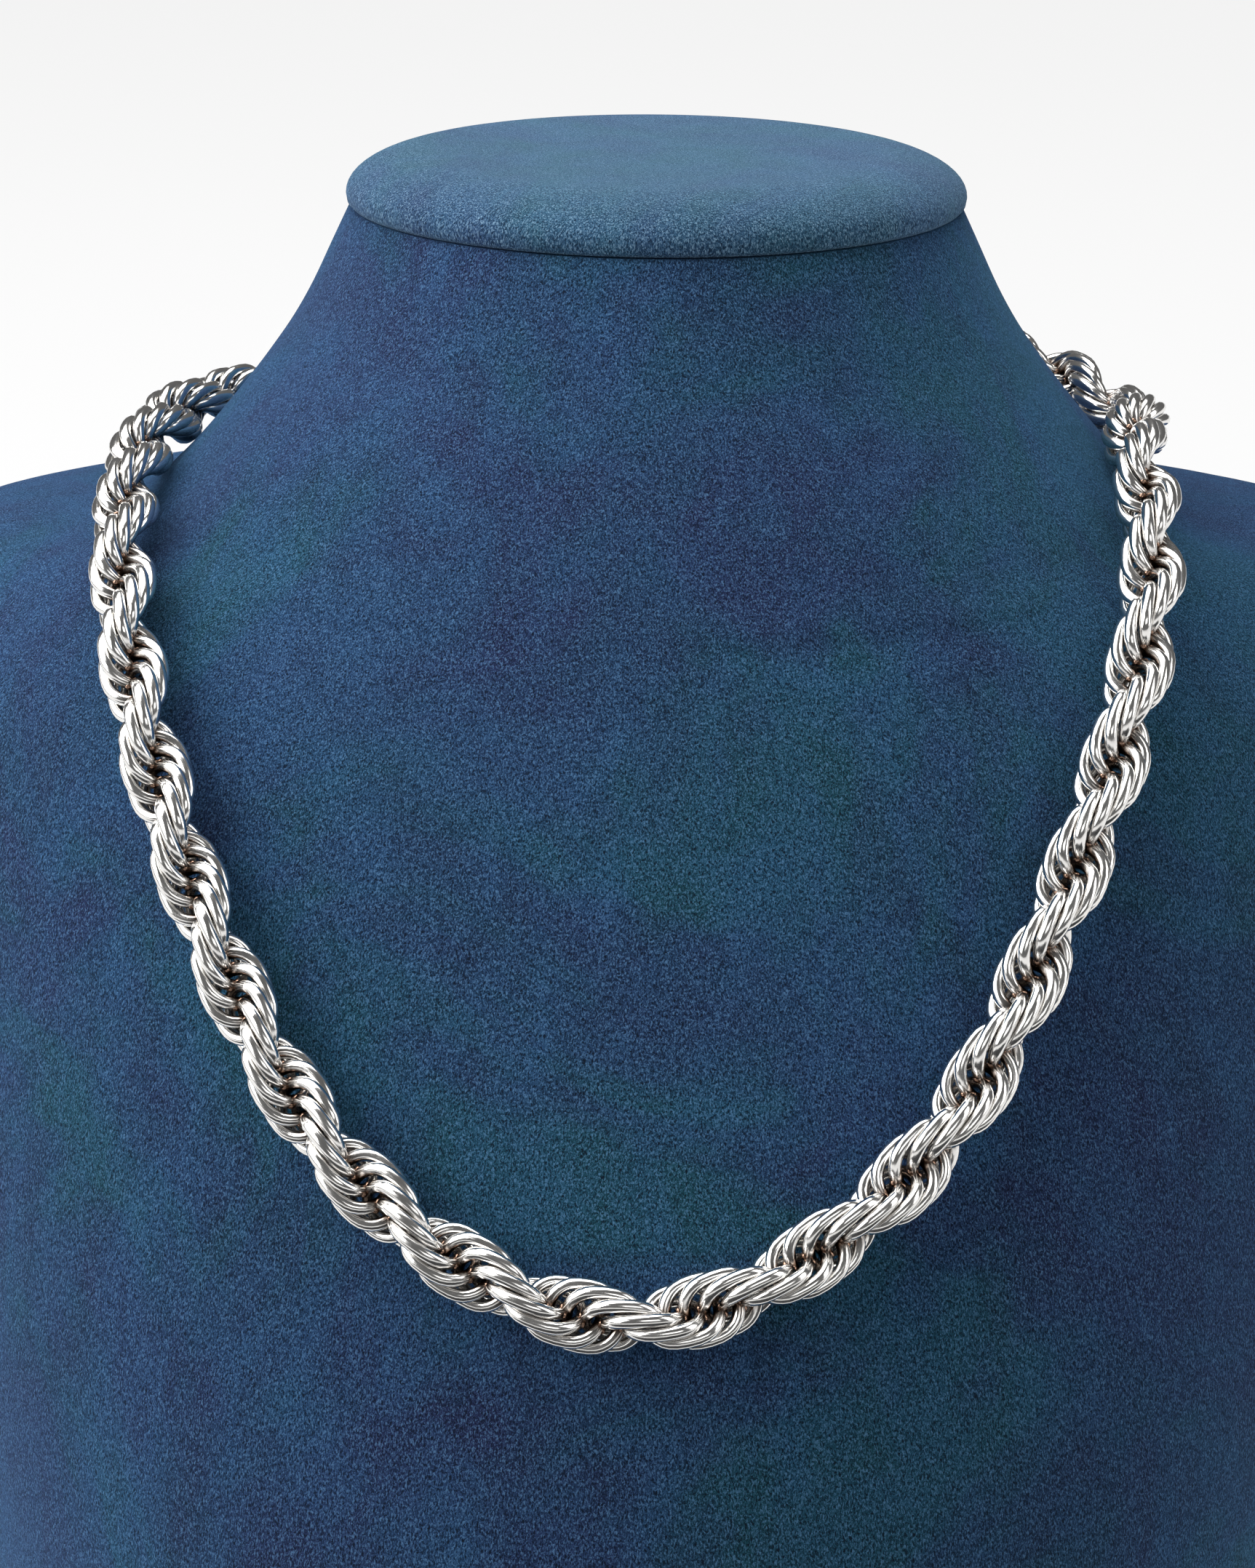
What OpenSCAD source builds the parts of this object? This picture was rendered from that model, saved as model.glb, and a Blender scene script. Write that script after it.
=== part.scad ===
/* [Bust] */
// height of the covered form, from the table to the seam under its cap
form_height = 238; // [220:1:256]
// half of the width across the shoulders
shoulder_half_width = 130; // [120:1:140]
// half of the width of the round neck at the seam
neck_half_width = 49.3; // [46:0.1:53]
// how far the chest reaches in front of the neck's axis
front_depth = 151; // [140:1:162]
// how far the back reaches behind the neck's axis
back_depth = 72; // [66:1:78]
// height of the covered cap on the neck
cap_height = 8; // [5:0.5:12]
// half of the width of the cap, which swells a little past the neck
cap_half_width = 49.9; // [47:0.1:54]
// width of the cap's soft rolled edge, seen from above
cap_roll = 13.9; // [8:0.1:20]
// height of the cap's widest line above its underside
cap_swell_height = 1.6; // [1:0.1:3]
// how far the cap's underside draws in under its widest line
cap_tuck = 1.4; // [0.6:0.1:3]
// gap of the sewn seam between the form and the cap
seam_gap = 0.3; // [0.1:0.1:1]

/* [Chain] */
// width across the chain, which is the outer width of one link
chain_width = 10; // [9.8:0.05:10.2]
// thickness of the round wire
wire = 1.7; // [1.4:0.02:1.72]
// step along the chain from one link to the next
link_pitch = 2.7; // [2.68:0.01:2.8]
// turn about the chain from one link to the next
link_turn = 28.4; // [27.7:0.1:28.4]
// turn of the first link, which sets where the lobes of the rope lie
first_turn = 104; // [0:1:180]
// opening cut in each ring, that the third link after it passes through
slit_width = 2.72; // [2.6:0.02:2.9]

/* [Clasp] */
// length of the barrel clasp
clasp_length = 16; // [14:0.5:22]
// depth of the cup at each end of the clasp, that holds an end link
cup_depth = 4; // [2:0.5:5]
// wall of the cup
cup_wall = 0.9; // [0.6:0.1:1]
// clearance of an end link in its cup
cup_clearance = 0.5; // [0.4:0.05:0.6]

/* [Hidden] */

// The neck's axis lies behind the middle of the footprint.
neck_y = (front_depth - back_depth) / 2;

// Sections of the form, from the seam down. Each row holds the height as a share of form_height, the
// half width from 0 at the neck to 1 at the shoulders, the shift of the widest line as a share of
// front_depth, the front and the back from 0 at the neck to 1 at their full depth, and how far the
// front and the back are round (1) rather than drawn in flat beside the neck (0).
SECTIONS = [
  [1.000, 0.000,  0.000, 0.000, 0.000, 1.00, 1.00],
  [0.971, 0.042, -0.007, 0.041, 0.000, 1.00, 1.00],
  [0.947, 0.076, -0.020, 0.076, 0.000, 1.00, 0.97],
  [0.924, 0.116, -0.033, 0.110, 0.000, 1.00, 0.92],
  [0.908, 0.151, -0.053, 0.140, 0.000, 1.00, 0.87],
  [0.891, 0.191, -0.073, 0.169, 0.000, 1.00, 0.82],
  [0.866, 0.255, -0.093, 0.213, 0.009, 1.00, 0.78],
  [0.847, 0.307, -0.106, 0.245, 0.031, 1.00, 0.76],
  [0.832, 0.352, -0.106, 0.269, 0.057, 1.00, 0.74],
  [0.817, 0.400, -0.101, 0.293, 0.093, 1.00, 0.72],
  [0.807, 0.455, -0.091, 0.310, 0.128, 0.99, 0.71],
  [0.801, 0.517, -0.069, 0.321, 0.163, 0.94, 0.70],
  [0.797, 0.597, -0.032, 0.327, 0.207, 0.87, 0.65],
  [0.792, 0.684,  0.003, 0.334, 0.251, 0.80, 0.62],
  [0.786, 0.765,  0.032, 0.344, 0.317, 0.75, 0.62],
  [0.776, 0.839,  0.052, 0.361, 0.405, 0.74, 0.64],
  [0.756, 0.905,  0.048, 0.390, 0.515, 0.77, 0.69],
  [0.723, 0.955,  0.025, 0.440, 0.648, 0.85, 0.76],
  [0.672, 0.990,  0.026, 0.511, 0.802, 0.90, 0.82],
  [0.588, 1.000,  0.020, 0.621, 0.934, 0.92, 0.86],
  [0.441, 0.965,  0.000, 0.798, 1.000, 0.92, 0.87],
  [0.273, 0.926, -0.040, 0.941, 1.000, 0.90, 0.87],
  [0.126, 0.895, -0.060, 0.990, 1.000, 0.88, 0.85],
  [0.000, 0.870, -0.066, 1.000, 1.000, 0.88, 0.85]
];
sides = 80;
steps = 2;

// The chain's way round the neck: each point's angle about the neck's axis, its height as a share of
// form_height, and how far the chain's middle is steered off the form there, as a share of
// chain_width. The first point is the clasp's, at the nape, and the way goes round by the left
// shoulder, down over the chest and up the right one.
CHAIN_ROUTE = [
  [90, 0.859, 0.86], [105, 0.858, 0.83], [119.6, 0.853, 0.78], [133.8, 0.846, 0.69],
  [148.4, 0.847, 0.72], [164.2, 0.854, 0.83], [181.2, 0.853, 0.88], [196.8, 0.838, 0.93],
  [211.6, 0.812, 1.10], [233, 0.769, 0.88], [237.8, 0.709, 0.70], [242, 0.641, 0.65],
  [246.4, 0.575, 0.63], [251.6, 0.521, 0.62], [258, 0.483, 0.62], [264.6, 0.460, 0.64],
  [271, 0.457, 0.65], [277.6, 0.478, 0.63], [284.4, 0.516, 0.62], [290, 0.571, 0.67],
  [294.4, 0.645, 0.66], [299.6, 0.722, 0.72], [308.4, 0.790, 0.97], [330, 0.840, 1.12],
  [341, 0.868, 0.88], [351.8, 0.872, 0.78], [2.8, 0.861, 0.80], [14.4, 0.853, 0.71],
  [25.6, 0.864, 0.94], [39.6, 0.873, 0.93], [57.4, 0.869, 0.79], [75, 0.859, 0.83]
];
route_steps = 20;

// Smooth curves through tables: one that passes its rows and one that is steered by its points.
function through(a, b, c, d, t) =
  b + t * (c - a) / 2 + t * t * (a - 2.5 * b + 2 * c - d / 2) + t * t * t * (1.5 * (b - c) + (d - a) / 2);
function steered(a, b, c, d, t) =
  (pow(1 - t, 3) * a + (3 * pow(t, 3) - 6 * t * t + 4) * b
   + (3 * t + 3 * t * t - 3 * pow(t, 3) + 1) * c + pow(t, 3) * d) / 6;
function unit(v) = v / norm(v);
function between(low, high, share) = low + (high - low) * share;

// The form: a ring of points at each height, joined to the next one.
last_row = len(SECTIONS) - 1;
function section(row, t) = through(SECTIONS[max(row - 1, 0)], SECTIONS[row], SECTIONS[row + 1],
                                   SECTIONS[min(row + 2, last_row)], t);
rows = concat([for (row = [0 : last_row - 1], j = [0 : steps - 1]) section(row, j / steps)],
              [SECTIONS[last_row]]);
function bow(roundness, across) = roundness * across + (1 - roundness) * across * across;
function rim_point(row, angle) =
  let (half = between(neck_half_width, shoulder_half_width, row[1]),
       widest = row[2] * front_depth,
       front = -between(neck_half_width, front_depth, row[3]),
       back = between(neck_half_width, back_depth, row[4]),
       across = abs(sin(angle)))
  [half * cos(angle),
   sin(angle) < 0 ? widest + (front - widest) * bow(row[5], across)
                  : widest + (back - widest) * bow(row[6], across),
   row[0] * form_height];

module bust_form() {
  rings = len(rows);
  points = [for (row = rows, i = [0 : sides - 1]) rim_point(row, i * 360 / sides)];
  walls = [for (r = [0 : rings - 2], i = [0 : sides - 1])
             let (j = (i + 1) % sides, a = r * sides, b = a + sides)
             each [[a + i, a + j, b + j], [a + i, b + j, b + i]]];
  top = [[for (i = [sides - 1 : -1 : 0]) i]];
  base = [[for (i = [0 : sides - 1]) (rings - 1) * sides + i]];
  color([0.17, 0.26, 0.4]) translate([0, neck_y, 0])
    polyhedron(points, concat(top, walls, base), convexity = 6);
}

// The cap: a covered disc whose edge rolls over to a tucked underside.
module neck_cap() {
  flat = cap_half_width - cap_roll;
  rise = cap_height - cap_swell_height;
  profile = concat(
    [[0, 0], [cap_half_width - cap_tuck, 0]],
    [for (a = [-60 : 30 : 0]) [cap_half_width - cap_tuck * (1 - cos(a)), cap_swell_height * (1 + sin(a))]],
    [for (a = [10 : 10 : 90]) [flat + cap_roll * cos(a), cap_swell_height + rise * sin(a)]],
    [[0, cap_height]]);
  color([0.2, 0.3, 0.45]) translate([0, neck_y, form_height + seam_gap])
    rotate_extrude($fn = 96) polygon(profile);
}

// The route follows the form: each of its points is set out from the section at its height.
function section_at(height) = [for (c = [0 : 6]) lookup(height, [for (row = rows) [row[0], row[c]]])];
function off_form(point) =
  rim_point(section_at(point[1]), point[0]) + point[2] * chain_width * [cos(point[0]), sin(point[0]), 0];
route = [for (point = CHAIN_ROUTE) off_form(point)];

// The route as a fine line of points, with the length run so far at each.
points_count = len(route);
line = [for (i = [0 : points_count], j = [0 : (i < points_count ? route_steps - 1 : 0)])
          let (n = points_count)
          steered(route[(i + n - 1) % n], route[i % n], route[(i + 1) % n], route[(i + 2) % n],
                  j / route_steps)];
last = len(line) - 1;
way = [for (i = [0 : last]) unit(line[i == 0 || i == last ? 1 : i + 1]
                                 - line[i == 0 || i == last ? last - 1 : i - 1])];
run = [for (sum = 0, i = 0; i <= last; sum = sum + (i < last ? norm(line[i + 1] - line[i]) : 0), i = i + 1) sum];
// A direction square to the route that is carried along it without turning about it.
side = [for (v = [0, 0, 1], i = 0; i <= last;
             v = unit(v - way[min(i + 1, last)] * (v * way[min(i + 1, last)])), i = i + 1) v];

// The links: equal steps from one cup of the clasp to the other.
ring_radius = (chain_width - wire) / 2;
slit_angle = slit_width / ring_radius * 180 / PI;
first_run = clasp_length / 2 - cup_depth + cup_clearance + chain_width / 2;
links_run = run[last] - 2 * first_run;
link_count = round(links_run / link_pitch) + 1;
function piece_at(s) = len([for (i = [1 : last - 1]) if (run[i] <= s) 1]);
function mixed(list, i, f) = list[i] * (1 - f) + list[i + 1] * f;
function frame_at(s) =
  let (i = piece_at(s), f = (s - run[i]) / (run[i + 1] - run[i]),
       x = unit(mixed(way, i, f)), v = mixed(side, i, f), y = unit(v - x * (v * x)))
  [x, y, cross(x, y), mixed(line, i, f)];

module link() {
  rotate([0, 0, slit_angle / 2])
    rotate_extrude(angle = 360 - slit_angle, $fn = 48) translate([ring_radius, 0]) circle(d = wire, $fn = 24);
}

module rope_chain() {
  color([0.82, 0.83, 0.84]) translate([0, neck_y, 0])
    for (k = [0 : link_count - 1]) {
      f = frame_at(first_run + k * links_run / (link_count - 1));
      multmatrix([[f[0][0], f[1][0], f[2][0], f[3][0]],
                  [f[0][1], f[1][1], f[2][1], f[3][1]],
                  [f[0][2], f[1][2], f[2][2], f[3][2]], [0, 0, 0, 1]])
        rotate([first_turn + k * link_turn, 0, 0]) link();
    }
}

// The clasp: a plain barrel on the line between the two end links, with a cup for each of them.
module clasp() {
  ends = [frame_at(first_run)[3], frame_at(run[last] - first_run)[3]];
  bore = chain_width / 2 + cup_clearance;
  color([0.78, 0.79, 0.8]) translate([0, neck_y, 0] + (ends[0] + ends[1]) / 2)
    rotate([0, 90, 0]) difference() {
      cylinder(h = clasp_length, r = bore + cup_wall, center = true, $fn = 64);
      for (z = [0, 180]) rotate([0, z, 0]) translate([0, 0, clasp_length / 2 - cup_depth])
        cylinder(h = cup_depth + 1, r = bore, $fn = 64);
    }
}

bust_form();
neck_cap();
rope_chain();
clasp();
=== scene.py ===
from math import cos, pi, radians, sin

import bmesh
import bpy
import numpy as np
from mathutils import Matrix, Vector


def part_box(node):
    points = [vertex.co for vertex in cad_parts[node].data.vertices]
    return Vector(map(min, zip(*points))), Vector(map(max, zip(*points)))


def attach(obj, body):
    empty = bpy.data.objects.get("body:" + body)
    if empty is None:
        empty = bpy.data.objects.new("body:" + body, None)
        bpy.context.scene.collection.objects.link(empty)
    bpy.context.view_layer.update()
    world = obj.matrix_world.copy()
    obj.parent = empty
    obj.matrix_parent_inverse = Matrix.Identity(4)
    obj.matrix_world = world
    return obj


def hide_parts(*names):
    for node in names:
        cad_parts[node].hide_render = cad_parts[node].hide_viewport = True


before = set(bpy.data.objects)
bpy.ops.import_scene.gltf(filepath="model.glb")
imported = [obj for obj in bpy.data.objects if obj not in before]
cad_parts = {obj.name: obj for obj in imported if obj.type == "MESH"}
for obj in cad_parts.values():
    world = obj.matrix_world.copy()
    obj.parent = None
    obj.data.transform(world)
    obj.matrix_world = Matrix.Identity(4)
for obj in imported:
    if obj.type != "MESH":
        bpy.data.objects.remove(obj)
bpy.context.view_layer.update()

# The neck bust: a light moulded shell of neck, shoulders and chest, with a sheet of blue microsuede
# stretched over it and glued down, so it shows no seam in front. The nap is short and was brushed
# by hand, so it lies in soft patches.
MM = 0.001
# Points closer together than this are one point.
WELD = 0.001 * MM


def colour(code):
    """An sRGB hex value as linear RGBA."""
    parts = [int(code[i:i + 2], 16) / 255 for i in (1, 3, 5)]
    return [c / 12.92 if c <= 0.04045 else ((c + 0.055) / 1.055) ** 2.4 for c in parts] + [1.0]


def add(tree, kind, links=(), values=(), **settings):
    """Adds a node: links as {input: (node, output)}, values as {input: value}."""
    made = tree.nodes.new(kind)
    for name, value in settings.items():
        setattr(made, name, value)
    for name, value in dict(values).items():
        made.inputs[name].default_value = value
    for name, (source, output) in dict(links).items():
        tree.links.new(source.outputs[output], made.inputs[name])
    return made


def material(name, values):
    """A new material, its tree and its Principled shader, with values as {input: value}."""
    made = bpy.data.materials.new(name)
    made.use_nodes = True
    tree = made.node_tree
    tree.nodes.clear()
    shader = add(tree, "ShaderNodeBsdfPrincipled", values=values)
    add(tree, "ShaderNodeOutputMaterial", {"Surface": (shader, "BSDF")})
    return made, tree, shader


def stretched(tree, scale):
    """The piece's Object coordinates, scaled along each axis."""
    place = add(tree, "ShaderNodeTexCoord")
    return add(tree, "ShaderNodeMapping", {"Vector": (place, "Object")}, {"Scale": scale})


def noise(tree, place, size, detail, roughness, distortion=0.0):
    """Noise over a Mapping node's coordinates, with spots of a real size in metres."""
    return add(tree, "ShaderNodeTexNoise", {"Vector": (place, "Vector")},
               {"Scale": 1 / size, "Detail": detail, "Roughness": roughness,
                "Distortion": distortion})


def remap(tree, source, low, high, start, end):
    """A node's output, given as (node, output), from low to high, as start to end."""
    return add(tree, "ShaderNodeMapRange", {"Value": source},
               {"From Min": low, "From Max": high, "To Min": start, "To Max": end})


def new_piece(name, bm, finish, smooth=True):
    """Turns a bmesh into an object at the origin with one material."""
    mesh = bpy.data.meshes.new(name)
    for face in bm.faces:
        face.smooth = smooth
    bm.to_mesh(mesh)
    bm.free()
    mesh.materials.append(finish)
    made = bpy.data.objects.new(name, mesh)
    bpy.context.scene.collection.objects.link(made)
    return made


def round_off(piece):
    """Rounds a piece by one step of subdivision."""
    rounding = piece.modifiers.new("rounding", "SUBSURF")
    rounding.levels = rounding.render_levels = 1


# Microsuede: split microfibre cloth, matt, with a pale bloom at grazing angles. Where the nap lies
# away from the light it is navy, and where it was brushed the other way it turns teal.
SUEDE = {
    "navy": "#1F2749",
    "blue": "#1B314D",
    "teal": "#163E4B",
    "raised": "#284E76",
    "lit": "#557CA2",
    "parted": "#0A1320",
    "bloom": "#669CD0",
}
# The fibres are 0.1 mm wide and about 1 mm long; they are drawn twice as wide, or the render would
# not show them.
NAP = {
    # layer: size (m), scale along z, detail, roughness, distortion
    "patch": (75 * MM, 1.0, 5.0, 0.62, 0.8),
    "streak": (16 * MM, 0.45, 5.0, 0.62, 1.2),
    "fibre": (0.23 * MM, 0.45, 2.0, 0.7, 0.6),
}
# The noise value at which the patches are all navy, the one between, and the one for all teal.
PATCH_NAVY, PATCH_BLUE, PATCH_TEAL = 0.42, 0.5, 0.58
NAP_TONES = [
    # tone, layer, from noise value, to noise value, share of the tone at the first, at the second
    ("raised", "streak", 0.38, 0.68, 0.0, 0.42),
    ("parted", "fibre", 0.38, 0.50, 0.95, 0.0),
    ("lit", "fibre", 0.52, 0.66, 0.0, 0.6),
]
# A Mix node's colour inputs and output, which have the same names as its other ones.
MIX_FIRST, MIX_SECOND, MIX_RESULT = 6, 7, 2


def suede(name, tones):
    """Brushed microsuede in the given tones: patches, then streaks, then single fibres."""
    made, tree, shader = material(name, {
        "Roughness": 0.95,
        "Specular IOR Level": 0.1,
        "Sheen Weight": 0.34,
        "Sheen Roughness": 0.38,
        "Sheen Tint": colour(tones["bloom"]),
    })
    layers = {}
    for layer, (size, along, detail, roughness, distortion) in NAP.items():
        place = stretched(tree, (1.0, 1.0, along))
        layers[layer] = noise(tree, place, size, detail, roughness, distortion)
    ramp = add(tree, "ShaderNodeValToRGB", {"Fac": (layers["patch"], "Fac")})
    stops = ramp.color_ramp.elements
    stops[0].position, stops[0].color = PATCH_NAVY, colour(tones["navy"])
    stops[1].position, stops[1].color = PATCH_TEAL, colour(tones["teal"])
    stops.new(PATCH_BLUE).color = colour(tones["blue"])
    shade = (ramp, "Color")
    for tone, layer, low, high, start, end in NAP_TONES:
        amount = remap(tree, (layers[layer], "Fac"), low, high, start, end)
        mix = add(tree, "ShaderNodeMix", {"Factor": (amount, "Result"), MIX_FIRST: shade},
                  {MIX_SECOND: colour(tones[tone])}, data_type="RGBA")
        shade = (mix, MIX_RESULT)
    bump = add(tree, "ShaderNodeBump", {"Height": (layers["fibre"], "Fac")},
               {"Strength": 0.6, "Distance": 0.25 * MM})
    tree.links.new(mix.outputs[MIX_RESULT], shader.inputs["Base Color"])
    tree.links.new(bump.outputs["Normal"], shader.inputs["Normal"])
    return made


# The cloth follows the form exactly, so its mesh is the form's own, merged and rounded off. Pairs
# of triangles that are flatter than FLAT and squarer than SQUARE become one face.
FLAT, SQUARE = radians(12), radians(60)
# The rims of the neck's top and of the base stay sharp, since the cloth is folded hard over them.
FOLDED = radians(50)
bm = bmesh.new()
bm.from_mesh(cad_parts["bust_form"].data)
bmesh.ops.remove_doubles(bm, verts=bm.verts, dist=WELD)
bmesh.ops.join_triangles(bm, faces=bm.faces, angle_face_threshold=FLAT, angle_shape_threshold=SQUARE)
fold = bm.edges.layers.float.new("crease_edge")
for edge in bm.edges:
    if len(edge.link_faces) == 2 and edge.calc_face_angle() > FOLDED:
        edge[fold] = 1.0
bust = new_piece("bust_cover", bm, suede("microsuede_blue_brushed", SUEDE))
round_off(bust)
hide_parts("bust_form")
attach(bust, "root")

# The cap: a disc of firm board wrapped in the same microsuede, whose edge rolls softly over and
# tucks in above the seam where it meets the neck.
low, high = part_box("neck_cap")
CAP_CENTRE = (low + high) / 2
CAP_RADIUS = (high.x - low.x) / 2
# The edge swells to its widest line just above the seam, then rolls over in a quarter oval.
CAP_TUCK, CAP_SWELL, CAP_ROLL = 0.7 * MM, 1.6 * MM, 13.9 * MM
ROLL_STEPS, CAP_STEPS = 14, 240


def turned(profile, axis, steps):
    """A bmesh turned about an axis through the origin, from a profile of (x, z) points."""
    bm = bmesh.new()
    verts = [bm.verts.new((x, 0, z)) for x, z in profile]
    edges = [bm.edges.new(pair) for pair in zip(verts, verts[1:])]
    bmesh.ops.spin(bm, geom=verts + edges, cent=(0, 0, 0), axis=axis, angle=2 * pi, steps=steps,
                   use_merge=True, use_duplicate=False)
    bmesh.ops.remove_doubles(bm, verts=bm.verts, dist=WELD)
    bmesh.ops.recalc_face_normals(bm, faces=bm.faces)
    return bm


# The same microsuede in paler tones: painted light, standing for the light that falls from above on
# the flat disc.
PAINTED_LIT_CAP_SUEDE = {
    "navy": "#273A5E",
    "blue": "#284462",
    "teal": "#274D60",
    "raised": "#3A5E81",
    "lit": "#82A1B8",
    "parted": "#122235",
    "bloom": "#90B2CE",
}
profile = [
    (0, low.z),
    (CAP_RADIUS - CAP_TUCK, low.z),
    (CAP_RADIUS - CAP_TUCK / 4, low.z + CAP_SWELL / 3),
]
for step in range(ROLL_STEPS + 1):
    turn = radians(90 * step / ROLL_STEPS)
    profile.append((CAP_RADIUS - CAP_ROLL * (1 - cos(turn)),
                    low.z + CAP_SWELL + (high.z - low.z - CAP_SWELL) * sin(turn)))
profile.append((0, high.z))
bm = turned(profile, (0, 0, 1), CAP_STEPS)
bmesh.ops.translate(bm, vec=(CAP_CENTRE.x, CAP_CENTRE.y, 0), verts=bm.verts)
# The cap's suede is painted paler than the bust's, as painted light from above.
cap = new_piece("cap_cover", bm, suede("microsuede_blue_cap_painted_lit", PAINTED_LIT_CAP_SUEDE))
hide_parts("neck_cap")
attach(cap, "root")

# The rope chain: open rings of round wire, each turned a little from the last, so that two
# strands of parallel wires wind round each other. Each ring is closed round its neighbours,
# soldered on the inside, and the whole chain is tumbled bright.
WIRE, RING_RADIUS = 1.92 * MM, 4.25 * MM
# Each ring was pulled a little longer than it is wide as the chain was drawn tight.
RING_PULL = 1.8 * MM
LINK_STEPS, LINK_SIDES = 16, 6

# White metal, tumbled to a mirror: bright where it sees the soft boxes and near black between. Near
# the chain's middle, where the wires run into the core, the wire is painted a dull dark brown:
# painted shade.
METAL = {"polished": "#EDEBE8", "core_shade": "#6C5C50"}
# The painted shade ends between these shares of the ring's radius from the chain's axis.
CORE_SHADE_FULL, CORE_SHADE_GONE = 0.22, 0.66
# Tumbling leaves the mirror a little cloudy in spots.
CLOUD, CLEAREST, CLOUDIEST = 2.2 * MM, 0.12, 0.21
chain_metal, tree, shader = material("white_metal_tumbled_bright", {"Metallic": 1.0})
# The wire near the chain's axis gets painted shade: a dull brown that fades out towards the outside
# of the ring.
depth = add(tree, "ShaderNodeAttribute", attribute_name="depth")
core_shade = remap(tree, (depth, "Fac"), CORE_SHADE_FULL, CORE_SHADE_GONE, 0.0, 1.0)
tone = add(tree, "ShaderNodeMix", {"Factor": (core_shade, "Result")},
           {MIX_FIRST: colour(METAL["core_shade"]), MIX_SECOND: colour(METAL["polished"])},
           data_type="RGBA")
haze = noise(tree, stretched(tree, (1.0, 1.0, 1.0)), CLOUD, 3.0, 0.6)
polish = remap(tree, (haze, "Fac"), 0.3, 0.7, CLEAREST, CLOUDIEST)
tree.links.new(tone.outputs[MIX_RESULT], shader.inputs["Base Color"])
tree.links.new(polish.outputs["Result"], shader.inputs["Roughness"])


def islands(mesh):
    """The points of each separate solid of a mesh, one array for each."""
    bm = bmesh.new()
    bm.from_mesh(mesh)
    bmesh.ops.remove_doubles(bm, verts=bm.verts, dist=WELD)
    bm.verts.ensure_lookup_table()
    found, seen = [], set()
    for start in bm.verts:
        if start.index in seen:
            continue
        seen.add(start.index)
        island, front = [], [start]
        while front:
            vert = front.pop()
            island.append(vert.co[:])
            for edge in vert.link_edges:
                other = edge.other_vert(vert)
                if other.index not in seen:
                    seen.add(other.index)
                    front.append(other)
        found.append(np.array(island))
    bm.free()
    return found


def ring_frame(points):
    """The place of one cut ring: its centre, with its x axis towards the cut."""
    middle = points.mean(0)
    _, _, axes = np.linalg.svd(points - middle, full_matrices=False)
    flat = (points - middle) @ axes[:2].T
    # The circle through the wire's points, by least squares.
    fit, *_ = np.linalg.lstsq(np.c_[2 * flat, np.ones(len(flat))], (flat ** 2).sum(1), rcond=None)
    centre = middle + fit[:2] @ axes[:2]
    angles = np.sort(np.arctan2(flat[:, 1] - fit[1], flat[:, 0] - fit[0]))
    gaps = np.diff(np.r_[angles, angles[0] + 2 * pi])
    widest = int(gaps.argmax())
    cut = angles[widest] + gaps[widest] / 2
    x = cos(cut) * axes[0] + sin(cut) * axes[1]
    normal = np.cross(axes[0], axes[1])
    place = np.eye(4)
    place[:3] = np.c_[x, np.cross(normal, x), normal, centre]
    return Matrix(place.tolist())


def before_rounding(radius, turn):
    """The radius that one rounding step draws in to the given one, for points this far apart."""
    return radius * 3 / (2 + cos(turn))


def repeated(pattern, places):
    """A bmesh with a copy of the pattern at each place; the pattern itself is freed."""
    mesh = bpy.data.meshes.new("pattern")
    pattern.to_mesh(mesh)
    pattern.free()
    bm = bmesh.new()
    for where in places:
        count = len(bm.verts)
        bm.from_mesh(mesh)
        bm.verts.ensure_lookup_table()
        bmesh.ops.transform(bm, matrix=where, verts=bm.verts[count:])
    bpy.data.meshes.remove(mesh)
    return bm


link = bmesh.new()
step = 2 * pi / LINK_STEPS
bmesh.ops.create_circle(link, cap_ends=False, segments=LINK_SIDES,
                        radius=before_rounding(WIRE / 2, 2 * pi / LINK_SIDES))
bmesh.ops.rotate(link, cent=(0, 0, 0), matrix=Matrix.Rotation(pi / 2, 3, "X"), verts=link.verts)
bmesh.ops.translate(link, vec=(before_rounding(RING_RADIUS, step), 0, 0), verts=link.verts)
bmesh.ops.rotate(link, cent=(0, 0, 0), matrix=Matrix.Rotation(step / 2, 3, "Z"), verts=link.verts)
bmesh.ops.spin(link, geom=link.verts[:] + link.edges[:], cent=(0, 0, 0), axis=(0, 0, 1),
               angle=2 * pi, steps=LINK_STEPS, use_merge=True, use_duplicate=False)
for vert in link.verts:
    vert.co.x += RING_PULL / 2 if vert.co.x > 0 else -RING_PULL / 2
bmesh.ops.recalc_face_normals(link, faces=link.faces)
from_axis = link.verts.layers.float.new("depth")
for vert in link.verts:
    vert[from_axis] = abs(vert.co.y) / RING_RADIUS

# Each ring of the frame gives its centre, its plane and the side on which it is cut.
ring_places = [ring_frame(points) for points in islands(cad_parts["rope_chain"].data)]
chain = new_piece("rope_chain_links", repeated(link, ring_places), chain_metal)
round_off(chain)
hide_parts("rope_chain")
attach(chain, "root")

# The solder: small drops, run in where the ends of the rings meet along the middle of the chain.
# They are what is seen at the bottom of the gaps between the two strands.
DROP_RADIUS, DROP_OUT, DROP_ASIDE = 0.62 * MM, 0.4 * MM, 1.2 * MM

# Silver solder, which the heat left a dull copper brown.
SOLDER = {"drop": "#937969"}
solder, _, _ = material("silver_solder_dull_brown", {
    "Base Color": colour(SOLDER["drop"]),
    "Metallic": 1.0,
    "Roughness": 0.22,
})

DROP_REACH = RING_RADIUS + RING_PULL / 2 + DROP_OUT
drop = bmesh.new()
bmesh.ops.create_icosphere(drop, subdivisions=2, radius=DROP_RADIUS)
drop_places = [where @ Matrix.Translation((end * DROP_REACH, side * DROP_ASIDE, 0))
               for where in ring_places for end in (-1, 1) for side in (-1, 1)]
drops = new_piece("solder_drops", repeated(drop, drop_places), solder)
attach(drops, "root")

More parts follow.
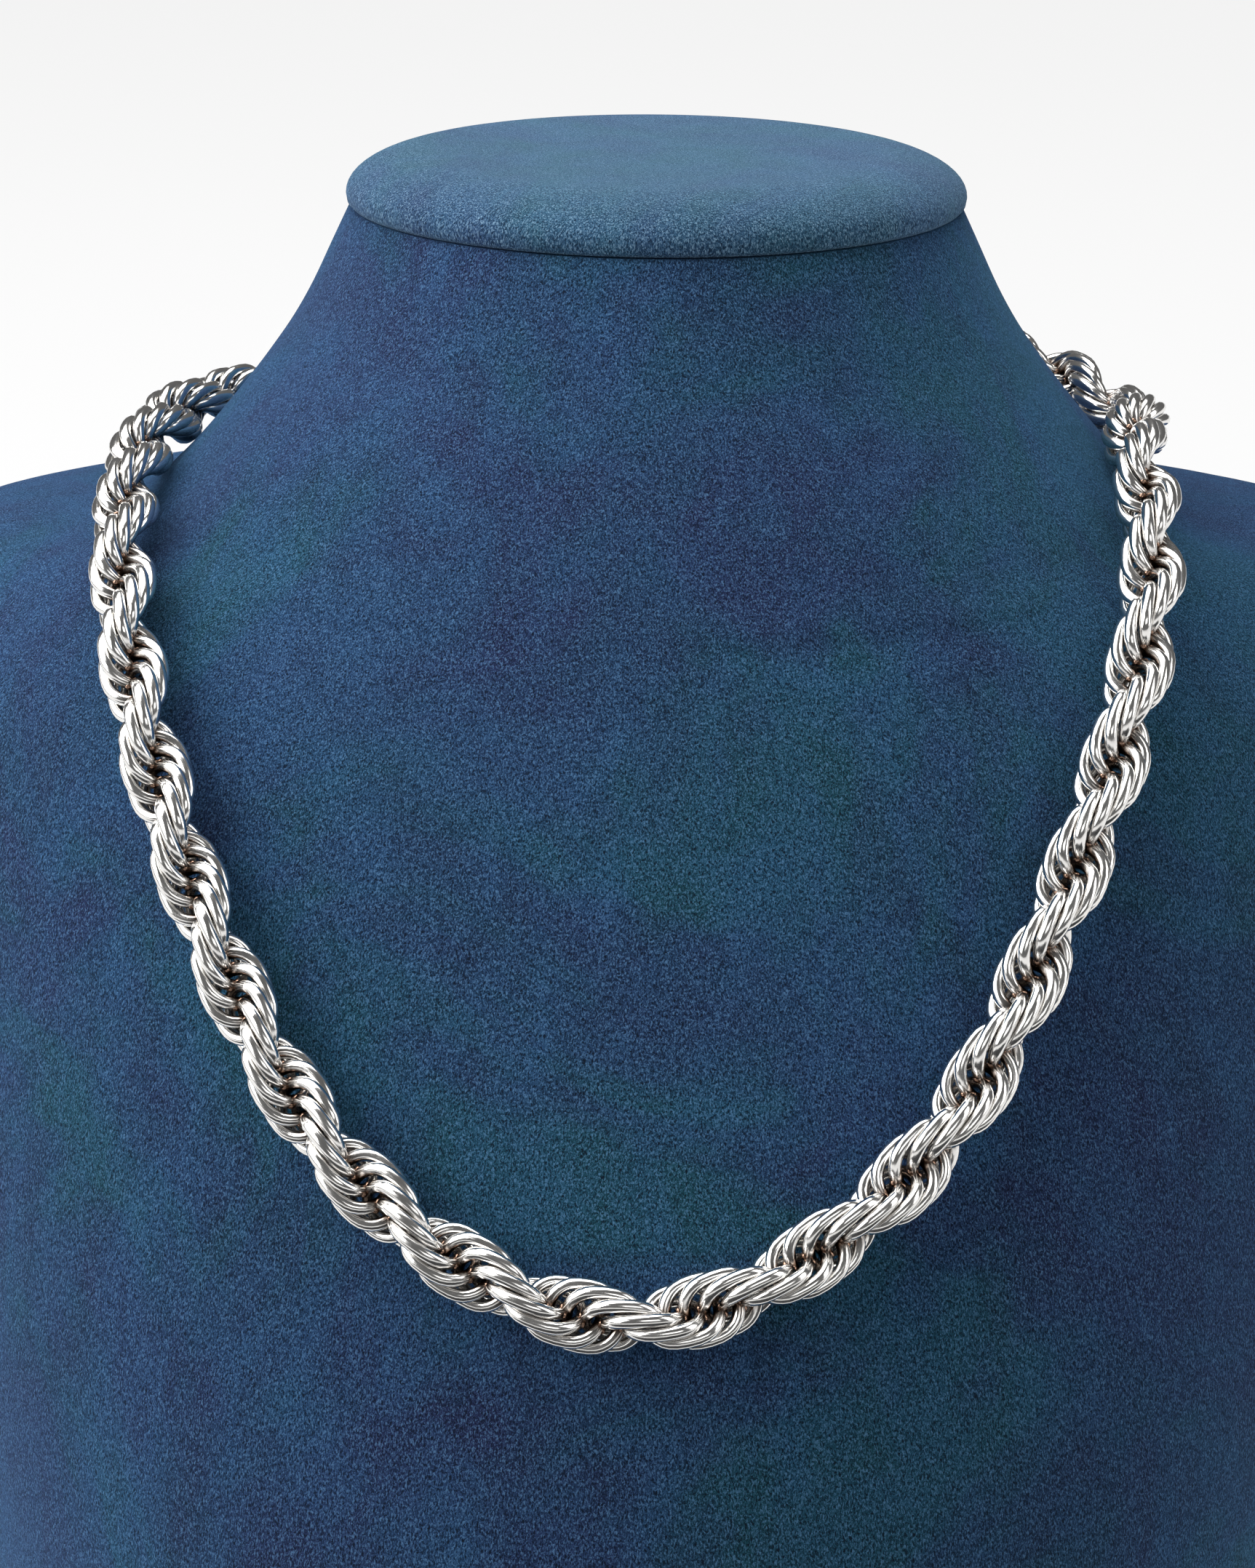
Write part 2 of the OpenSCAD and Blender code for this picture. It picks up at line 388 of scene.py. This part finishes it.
# The clasp at the nape: a plain barrel turned from bar, with a cup bored in each end for the
# chain's end link. Its edges are broken and its outside is polished.
low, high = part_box("clasp")
CLASP_CENTRE = (low + high) / 2
CLASP_RADIUS = (high.z - low.z) / 2
CLASP_HALF = (high.x - low.x) / 2
CUP_WALL, CUP_DEPTH, CLASP_EDGE = 0.9 * MM, 5 * MM, 0.25 * MM
CLASP_STEPS, SHARP = 64, radians(60)
# From the bottom of one cup to the rim of its mouth: place along, radius.
CLASP_OUTLINE = [
    ("cup floor", CUP_DEPTH - CLASP_HALF, 0),
    ("cup corner", CUP_DEPTH - CLASP_HALF, CLASP_RADIUS - CUP_WALL),
    ("cup mouth", -CLASP_HALF, CLASP_RADIUS - CUP_WALL),
    ("rim", -CLASP_HALF, CLASP_RADIUS),
]

# White metal, turned and then polished by hand: brighter than the chain's gaps, with faint rings
# left by the cutting tool.
TOOL_MARK, MARK_DEPTH = 0.35 * MM, 0.02 * MM
# The marks run round the bar, so they change along it alone.
ROUND_THE_BAR = (1.0, 0.02, 0.02)
clasp_metal, tree, shader = material("white_metal_turned_polished", {
    "Base Color": colour(METAL["polished"]),
    "Metallic": 1.0,
})
marks = noise(tree, stretched(tree, ROUND_THE_BAR), TOOL_MARK, 2.0, 0.5)
polish = remap(tree, (marks, "Fac"), 0.3, 0.7, 0.08, 0.2)
bump = add(tree, "ShaderNodeBump", {"Height": (marks, "Fac")},
           {"Strength": 0.1, "Distance": MARK_DEPTH})
tree.links.new(polish.outputs["Result"], shader.inputs["Roughness"])
tree.links.new(bump.outputs["Normal"], shader.inputs["Normal"])

half = [(x, r) for _, x, r in CLASP_OUTLINE]
bm = turned(half + [(-x, r) for x, r in reversed(half)], (1, 0, 0), CLASP_STEPS)
rims = [e for e in bm.edges if len(e.link_faces) == 2 and e.calc_face_angle() > SHARP]
bmesh.ops.bevel(bm, geom=rims, offset=CLASP_EDGE, offset_type="OFFSET", affect="EDGES", segments=2,
                profile=0.5, material=-1)
bmesh.ops.translate(bm, vec=CLASP_CENTRE, verts=bm.verts)
clasp = new_piece("barrel_clasp", bm, clasp_metal)
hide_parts("clasp")
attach(clasp, "root")

# The studio: a pale sweep of paper, lit from below as well as from above so that it stays even,
# soft boxes round the bust, and a camera that looks down on the chest from above the neck.
PAPER = {"face": "#585858", "glow": "#FFFFFF", "strength": 0.865, "width": 12.0}


def sheet(width, depth, centre=(0, 0, 0)):
    """A bmesh of one level rectangle."""
    bm = bmesh.new()
    bmesh.ops.create_grid(bm, x_segments=1, y_segments=1, size=0.5)
    bmesh.ops.scale(bm, vec=(width, depth, 1.0), verts=bm.verts)
    bmesh.ops.translate(bm, vec=centre, verts=bm.verts)
    return bm


paper, _, _ = material("background_paper_white", {
    "Base Color": colour(PAPER["face"]),
    "Roughness": 0.9,
    "Specular IOR Level": 0.0,
    "Emission Color": colour(PAPER["glow"]),
    "Emission Strength": PAPER["strength"],
})
floor = new_piece("floor", sheet(PAPER["width"], PAPER["width"]), paper, smooth=False)

# A photographer's black card lies in front of the bust, out of the picture. The wires that face
# down see it, which gives them the dark bands between their highlights, and less light comes up
# under the chain. Only reflections and bounced light meet it, so the floor stays pale all round.
CARD = {"face": "#17181A", "width": 0.7, "near": -0.5, "far": -0.14, "height": 2 * MM}
card_paper, _, _ = material("card_paper_black_matt", {
    "Base Color": colour(CARD["face"]),
    "Roughness": 0.9,
})
bm = sheet(CARD["width"], CARD["far"] - CARD["near"],
           (0, (CARD["far"] + CARD["near"]) / 2, CARD["height"]))
card = new_piece("dark_card", bm, card_paper, smooth=False)
card.visible_camera = card.visible_shadow = False

# The soft boxes face the middle of the chain.
LIT_POINT = Vector((0, 0, 0.16))
LIGHTS = [
    # name, place (m), width, height (m), power (W)
    ("key_box", (-1.5, -0.35, 1.1), 2.0, 1.5, 47),
    ("front_box", (0.35, -1.35, 0.95), 0.9, 0.5, 2.4),
    ("fill_strip", (1.05, -0.4, 0.8), 0.5, 1.3, 5.6),
    ("top_box", (-0.25, 0.3, 1.5), 1.5, 1.0, 22),
]
for name, where, width, height, power in LIGHTS:
    lamp = bpy.data.lights.new(name, "AREA")
    lamp.shape = "RECTANGLE"
    lamp.size, lamp.size_y, lamp.energy = width, height, power
    box = bpy.data.objects.new(name, lamp)
    turn = (LIT_POINT - Vector(where)).to_track_quat("-Z", "Y").to_matrix().to_4x4()
    box.matrix_world = Matrix.Translation(where) @ turn
    bpy.context.scene.collection.objects.link(box)

ROOM = {"walls": "#FFFFFF", "strength": 0.12}
world = bpy.data.worlds.new("studio")
bpy.context.scene.world = world
world.use_nodes = True
dim = world.node_tree.nodes["Background"]
dim.inputs["Color"].default_value = colour(ROOM["walls"])
dim.inputs["Strength"].default_value = ROOM["strength"]

CAMERA = {
    # lens and sensor height (mm)
    "lens": 73.469,
    "sensor": 36,
    # place (m)
    "place": (-0.003902, -0.478211, 0.328159),
    # turns about the X and Z axes (degrees)
    "down": 69.8,
    "roll": 0.45,
}
camera = bpy.data.cameras.new("camera")
camera.sensor_fit = "VERTICAL"
camera.sensor_height = CAMERA["sensor"]
camera.lens = CAMERA["lens"]
camera.clip_start = 10 * MM
eye = bpy.data.objects.new("camera", camera)
eye.matrix_world = (Matrix.Translation(CAMERA["place"])
                    @ Matrix.Rotation(radians(CAMERA["down"]), 4, "X")
                    @ Matrix.Rotation(radians(CAMERA["roll"]), 4, "Z"))
bpy.context.scene.collection.objects.link(eye)
bpy.context.scene.camera = eye
bpy.context.scene.view_settings.view_transform = "Standard"
